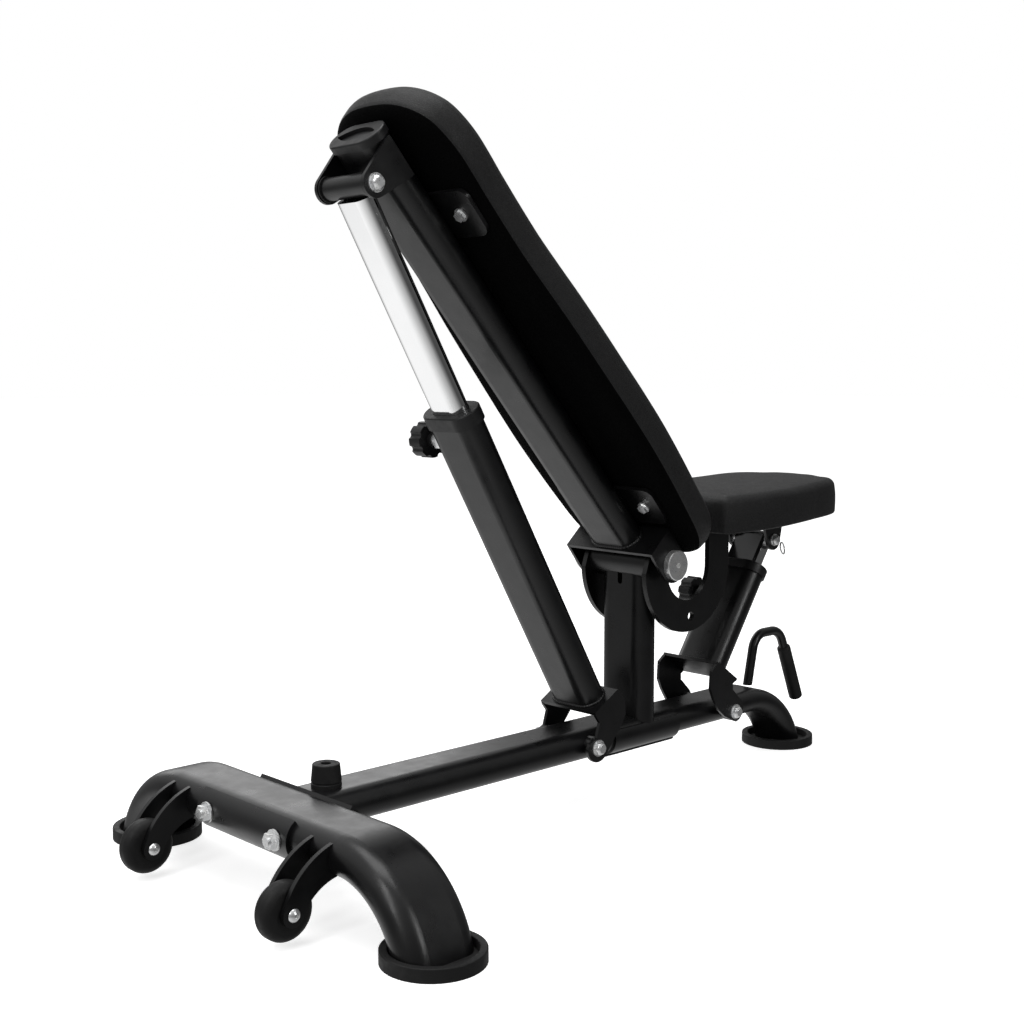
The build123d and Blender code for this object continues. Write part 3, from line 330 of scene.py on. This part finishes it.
def pad_mesh(name, outline, profile, shaded_lined, crown, floor, base, along, up):
    """A closed pad. The profile goes round its edge as (inset, height); crown and floor are its middles' heights.
    The matt cloth under the pad, coloured darker as painted shade, reaches as far as the profile's point number
    lined."""
    normals, spine = inward(outline), spine_of(outline, 0.6 * outline[:, 1].max())
    rings = [(outline + normals * inset, np.full(len(outline), height)) for inset, height in profile]
    middle_steps = (0.1, 0.2, 0.3, 0.4, 0.5, 0.6, 0.7, 0.8, 0.9)

    def across(ring, height, middle):
        found = []
        for share in middle_steps:
            blended = ring * (1 - share) + spine * share
            found.append((blended, np.full(len(ring), height + (middle - height) * (1 - (1 - share) ** 2))))
        return found + [(spine, np.full(len(ring), middle))]

    under = across(rings[0][0], profile[0][1], floor)[::-1]
    over = across(rings[-1][0], profile[-1][1], crown)
    rings = under + rings + over
    count = len(outline)
    verts = []
    for flat, heights in rings:
        for (s, y), h in zip(flat, heights):
            verts.append(base + along * s + ACROSS * y + up * h)
    faces, shaded_linings = [], []
    for r in range(len(rings) - 1):
        for k in range(count):
            n = (k + 1) % count
            faces.append((r * count + k, r * count + n, (r + 1) * count + n, (r + 1) * count + k))
            # faces underneath take the matt cloth, its colour darker as painted shade
            shaded_linings.append(1 if r < len(under) + shaded_lined else 0)
    obj = mesh_object(name, verts, faces)
    obj.data.materials.append(MATERIALS["vinyl"])
    # second material: the matt cloth, coloured darker as painted shade under the pad
    obj.data.materials.append(MATERIALS["underside"])
    obj.data.polygons.foreach_set("material_index", shaded_linings)
    bm = bmesh.new()
    bm.from_mesh(obj.data)
    bmesh.ops.remove_doubles(bm, verts=bm.verts, dist=1e-5)
    bmesh.ops.dissolve_degenerate(bm, edges=bm.edges, dist=1e-6)
    # the two sides of the pad meet along its middle line, whose points are paired by the outline's symmetry
    bmesh.ops.holes_fill(bm, edges=[e for e in bm.edges if e.is_boundary], sides=0)
    bmesh.ops.recalc_face_normals(bm, faces=bm.faces)
    bm.to_mesh(obj.data)
    bm.free()
    obj.data.polygons.foreach_set("use_smooth", [True] * len(obj.data.polygons))
    return obj


def quarter(start, end, bulge_from_start, steps=6):
    """A quarter ellipse between two profile points; it leaves the first along the inset or the height."""
    (a0, h0), (a1, h1) = start, end
    found = []
    for k in range(steps + 1):
        turn = pi / 2 * k / steps
        if bulge_from_start == "inset":
            found.append((a0 + (a1 - a0) * sin(turn), h0 + (h1 - h0) * (1 - cos(turn))))
        else:
            found.append((a0 + (a1 - a0) * (1 - cos(turn)), h0 + (h1 - h0) * sin(turn)))
    return found


def evened_out(obj, travel, rounds):
    """Each point's move, averaged with its neighbours' again and again, so that the cover stays taut."""
    ends = np.array([e.vertices[:] for e in obj.data.edges])
    count = np.bincount(ends.ravel(), minlength=len(travel))[:, None]
    for _ in range(rounds):
        total = np.zeros_like(travel)
        np.add.at(total, ends[:, 0], travel[ends[:, 1]])
        np.add.at(total, ends[:, 1], travel[ends[:, 0]])
        travel = 0.4 * travel + 0.6 * total / np.maximum(count, 1)
    return travel


CLOTH_FRAMES = 20
CLOTH_PRESSURE = 4.0
MOST_TRAVEL = 0.003                             # how far the foam may push a point of the cover
EVENING_ROUNDS = 25


def swell(obj, base, up, held_below):
    """Foam pushes the cover out: cloth under pressure, held at its underside, with each move capped."""
    rest = np.array([v.co for v in obj.data.vertices], float)
    heights = (rest - np.array(base)) @ np.array(up)
    group = obj.vertex_groups.new(name="held")
    for index in np.nonzero(heights < held_below)[0]:
        group.add([int(index)], 1.0, "REPLACE")
    cloth = obj.modifiers.new("Cloth", "CLOTH")
    settings = cloth.settings
    settings.quality, settings.mass = 6, 0.4
    settings.tension_stiffness = settings.compression_stiffness = 40.0
    settings.shear_stiffness, settings.bending_stiffness = 20.0, 4.0
    settings.use_pressure, settings.uniform_pressure_force = True, CLOTH_PRESSURE
    settings.effector_weights.gravity = 0.0
    settings.vertex_group_mass = "held"
    cloth.point_cache.frame_start, cloth.point_cache.frame_end = 1, CLOTH_FRAMES
    for step in range(1, CLOTH_FRAMES + 1):
        scene.frame_set(step)
    moved = obj.evaluated_get(bpy.context.evaluated_depsgraph_get())
    swollen = np.array([v.co for v in moved.data.vertices], float)
    obj.modifiers.remove(cloth)
    scene.frame_set(1)
    travel = swollen - rest
    size = np.linalg.norm(travel, axis=1)
    travel *= np.minimum(1.0, MOST_TRAVEL * np.tanh(size / MOST_TRAVEL) / np.maximum(size, 1e-9))[:, None]
    travel = evened_out(obj, travel, EVENING_ROUNDS)
    obj.data.vertices.foreach_set("co", (rest + travel).ravel())
    obj.data.update()
    subdivision = obj.modifiers.new("Subdivision", "SUBSURF")
    subdivision.levels = subdivision.render_levels = 1
    return obj


BACK_LOW_END, SEAT_REAR_END = -0.0645, 0.0065   # a little inside the CAD's, clear when both are raised
# the outlines' half, from the low or rear end round to the far end on the middle line
BACK_CORNER = ((-0.0645, 0.080), (-0.0555, 0.104), (-0.028, 0.122), (0.030, 0.131), (0.160, 0.138))
BACK_SIDE = ((0.280, 0.133), (0.400, 0.125), (0.500, 0.115), (0.600, 0.113), (0.655, 0.113))
BACK_CROWN = ((0.688, 0.1055), (0.712, 0.093), (0.732, 0.066), (0.742, 0.034), (0.744, 0.0))
SEAT_CORNER = ((0.0065, 0.100), (0.0085, 0.108), (0.0145, 0.112), (0.095, 0.131), (0.230, 0.120))
SEAT_FRONT = ((0.290, 0.110), (0.317, 0.094), (0.332, 0.068), (0.346, 0.036), (0.351, 0.0))


def half_outline(low_end, bends):
    low = curve_through(bends, 14)
    return np.vstack([np.linspace((low_end, 0.0), low[0], 24)[:-1], low])


def back_pad():
    outline = closed_outline(half_outline(BACK_LOW_END, BACK_CORNER + BACK_SIDE + BACK_CROWN), 0.006)
    profile = [(0.034, 0.028), (0.026, 0.028)]
    profile += quarter((0.020, 0.0285), (0.0, 0.046), "inset")
    profile += [(-0.0014, 0.052), (-0.0020, 0.058), (-0.0016, 0.064)]
    profile += quarter((-0.0005, 0.068), (0.015, 0.0832), "height")
    profile += [(0.028, 0.0836)]
    pad = pad_mesh("back_upholstery", outline, profile, 6, 0.0842, 0.028, BACK_BASE, BACK_ALONG, BACK_UP)
    swell(pad, BACK_BASE, BACK_UP, 0.040)
    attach(pad, "back")
    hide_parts("back_cushion", "back_board")
    return pad


def seat_pad():
    outline = closed_outline(half_outline(SEAT_REAR_END, SEAT_CORNER + SEAT_FRONT), 0.005)
    profile = [(0.024, 0.0), (0.010, 0.0)]
    profile += quarter((0.004, 0.0), (0.0, 0.004), "inset", 3)
    profile += [(-0.0008, 0.016), (-0.0012, 0.028), (-0.0008, 0.038)]
    profile += quarter((0.0, 0.046), (0.012, 0.0575), "height")
    profile += [(0.022, 0.058)]
    pad = pad_mesh("seat_upholstery", outline, profile, 2, 0.0595, 0.0, SEAT_BASE, SEAT_ALONG, SEAT_UP)
    swell(pad, SEAT_BASE, SEAT_UP, 0.012)
    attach(pad, "seat")
    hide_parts("seat_cushion", "seat_board")
    return pad


back_pad()
seat_pad()


# ---------------------------------------------------------------- weld beads and the small pull ring
def bead(name, body, points, closed, radius=0.0026, ripple=0.0042):
    """A weld bead: a low tube along the joint, swelling and thinning with each ripple."""
    loop = [Vector(p) for p in points]
    curve = bpy.data.curves.new(name, "CURVE")
    curve.dimensions, curve.bevel_depth, curve.bevel_resolution = "3D", radius, 3
    spline = curve.splines.new("POLY")
    length = sum((b - a).length for a, b in zip(loop, loop[1:]))
    count = int(length / ripple) * 4
    at = np.linspace(0.0, length, count, endpoint=not closed)
    steps = np.concatenate([[0.0], np.cumsum([(b - a).length for a, b in zip(loop, loop[1:])])])
    spline.points.add(count - 1)
    for place, distance in enumerate(at):
        where = [float(np.interp(distance, steps, [p[k] for p in loop])) for k in range(3)]
        spline.points[place].co = (*where, 1.0)
        spline.points[place].radius = 0.86 + 0.24 * abs(sin(pi * distance / ripple))
    spline.use_cyclic_u = closed
    obj = bpy.data.objects.new(name, curve)
    scene.collection.objects.link(obj)
    select_only(obj)
    bpy.ops.object.convert(target="MESH")
    obj = bpy.context.view_layer.objects.active
    obj.data.polygons.foreach_set("use_smooth", [True] * len(obj.data.polygons))
    return dress(obj, body, MATERIALS["frame_coating"])


def oval_loop(centre, along, width, depth, steps=20):
    """The outline of a flat-oval tube, width across and depth along, round its centre."""
    half, r = width / 2 - depth / 2, depth / 2
    found = []
    for side in (1, -1):
        for k in range(steps + 1):
            turn = -pi / 2 + pi * k / steps
            y, x = side * (half + r * cos(turn)), side * r * sin(turn)
            found.append(centre + ACROSS * y + along * x)
    return found + found[:1]


TUBE_W, TUBE_T, PLATE_T = 0.088, 0.044, 0.005
STRUT_ANGLE = radians(59.7)
STRUT_UP = Vector((-cos(STRUT_ANGLE), 0.0, sin(STRUT_ANGLE)))
SEAT_STRUT_ANGLE = radians(55.2)
SEAT_STRUT_UP = Vector((cos(SEAT_STRUT_ANGLE), 0.0, sin(SEAT_STRUT_ANGLE)))
TUBE_FEET = (
    ("back_tube_weld", "back", BACK_BASE, BACK_ALONG),
    ("strut_tube_weld", "strut_outer", Vector((0.5345 - ORIGIN_X, 0.0, 0.158)), STRUT_UP),
    ("seat_strut_weld", "seat_strut_outer", Vector((0.8169 - ORIGIN_X, 0.0, 0.1618)), SEAT_STRUT_UP),
)
for weld_name, weld_body, foot, tube_way in TUBE_FEET:
    level = foot + tube_way * (PLATE_T / 2 + 0.0008)
    facing = Vector((tube_way.z, 0.0, -tube_way.x))
    bead(weld_name, weld_body, oval_loop(level, facing, TUBE_W, TUBE_T), closed=True)
PAD_PLATES, PAD_PLATE_HALF = (0.050, 0.580), 0.035
for number, station in enumerate(PAD_PLATES):
    for side in (-1, 1):
        ends = [
            BACK_BASE + BACK_ALONG * (station + end * 0.8 * PAD_PLATE_HALF)
            + ACROSS * side * (TUBE_W / 2 - TUBE_T / 2 + 0.006) + BACK_UP * (TUBE_T / 2 - 0.0012)
            for end in (-1, 1)
        ]
        bead(f"pad_plate_weld_{number}_{'left' if side > 0 else 'right'}", "back", ends, closed=False)

bpy.ops.mesh.primitive_torus_add(
    location=(0.955 - ORIGIN_X + 0.004, -0.0555, 0.3605 - 0.013), rotation=(radians(78), 0.0, radians(18)),
    major_radius=0.0095, minor_radius=0.0013, major_segments=48, minor_segments=12)
pull_ring = bpy.context.object
pull_ring.name = "seat_pull_ring"
pull_ring.data.polygons.foreach_set("use_smooth", [True] * len(pull_ring.data.polygons))
dress(pull_ring, "seat", MATERIALS["zinc"])

# ---------------------------------------------------------------- camera
camera = bpy.data.objects.new("camera", bpy.data.cameras.new("camera"))
scene.collection.objects.link(camera)
scene.camera = camera
camera.data.lens, camera.data.sensor_width = 50.0, 36.0
camera.data.clip_start, camera.data.clip_end = 0.05, 60.0
CAMERA_YAW, CAMERA_PITCH = 0.809, 0.0983
camera.location = (-1.4461, -1.4292, 0.6364)
level = cos(CAMERA_PITCH)
looking = Vector((level * cos(CAMERA_YAW), level * sin(CAMERA_YAW), -sin(CAMERA_PITCH)))
camera.rotation_mode = "QUATERNION"
camera.rotation_quaternion = looking.to_track_quat("-Z", "Y")

# ---------------------------------------------------------------- floor, world and lights
FLOOR_HALF = 30.0
corners = [(x * FLOOR_HALF, y * FLOOR_HALF, 0.0) for x, y in ((-1, -1), (1, -1), (1, 1), (-1, 1))]
floor = mesh_object("floor", corners, [(0, 1, 2, 3)], smooth=False)
paint = Nodes("studio_floor")
paint.set(Roughness=0.9, Specular_IOR_Level=0.1, Emission_Color=(1.0, 1.0, 1.0, 1.0), Emission_Strength=0.66)
paint.colour(paint.mixed(paint.noise(0.8, 2.0), (0.93, 0.93, 0.93), (0.96, 0.96, 0.96)))
floor.data.materials.append(paint.material)
floor.visible_diffuse = floor.visible_glossy = False


SKY_TOWARDS = (-0.45, 0.87, 0.2)                # the pale side of the room


def studio_world():
    """White behind the object, and for its light a soft room: pale below and behind, dim in front."""
    world = bpy.data.worlds.new("studio")
    scene.world = world
    world.use_nodes = True
    tree = world.node_tree
    tree.nodes.clear()

    def new(kind):
        return tree.nodes.new(kind)

    direction = new("ShaderNodeTexCoord").outputs["Generated"]
    split = new("ShaderNodeSeparateXYZ")
    tree.links.new(direction, split.inputs[0])
    height = new("ShaderNodeMapRange")
    height.inputs["From Min"].default_value = -1.0
    tree.links.new(split.outputs["Z"], height.inputs["Value"])
    ramp = new("ShaderNodeValToRGB")
    tree.links.new(height.outputs["Result"], ramp.inputs["Fac"])
    levels = ((0.0, 0.95), (0.24, 0.9), (0.42, 0.2), (0.56, 0.22), (0.72, 0.5), (1.0, 0.7))
    for place, (at, level) in enumerate(levels):
        stop = ramp.color_ramp.elements[place] if place < 2 else ramp.color_ramp.elements.new(at)
        stop.position, stop.color = at, (level, level, level, 1.0)
    side = new("ShaderNodeVectorMath")
    side.operation = "DOT_PRODUCT"
    side.inputs[1].default_value = SKY_TOWARDS
    tree.links.new(direction, side.inputs[0])
    gain = new("ShaderNodeMapRange")
    for key, number in zip(("From Min", "From Max", "To Min", "To Max"), (-1.0, 1.0, 0.3, 1.25)):
        gain.inputs[key].default_value = number
    tree.links.new(side.outputs["Value"], gain.inputs["Value"])
    room = new("ShaderNodeBackground")
    tree.links.new(ramp.outputs["Color"], room.inputs["Color"])
    tree.links.new(gain.outputs["Result"], room.inputs["Strength"])
    white = new("ShaderNodeBackground")
    white.inputs["Color"].default_value = (1.0, 1.0, 1.0, 1.0)
    seen = new("ShaderNodeLightPath").outputs["Is Camera Ray"]
    mix = new("ShaderNodeMixShader")
    tree.links.new(seen, mix.inputs[0])
    tree.links.new(room.outputs[0], mix.inputs[1])
    tree.links.new(white.outputs[0], mix.inputs[2])
    tree.links.new(mix.outputs[0], new("ShaderNodeOutputWorld").inputs["Surface"])


studio_world()


def softbox(name, place, aim, size, power):
    data = bpy.data.lights.new(name, "AREA")
    data.shape, data.size, data.size_y = "RECTANGLE", size[0], size[1]
    data.energy = power
    lamp = bpy.data.objects.new(name, data)
    scene.collection.objects.link(lamp)
    lamp.location = place
    lamp.rotation_mode = "QUATERNION"
    lamp.rotation_quaternion = (Vector(aim) - Vector(place)).to_track_quat("-Z", "Y")
    return lamp


softbox("overhead", (-0.4, 0.3, 4.2), (0.0, 0.0, 0.3), (3.0, 3.0), 75.0)
softbox("key", (-3.2, -0.9, 2.6), (0.0, 0.0, 0.4), (0.7, 2.2), 26.0)
softbox("side", (0.6, -3.4, 1.9), (0.0, 0.0, 0.4), (0.6, 2.0), 24.0)
softbox("rim", (1.3, 3.8, 1.7), (0.0, 0.0, 0.3), (3.2, 1.8), 26.0)

scene.view_settings.view_transform = "Standard"
scene.view_settings.look = "None"
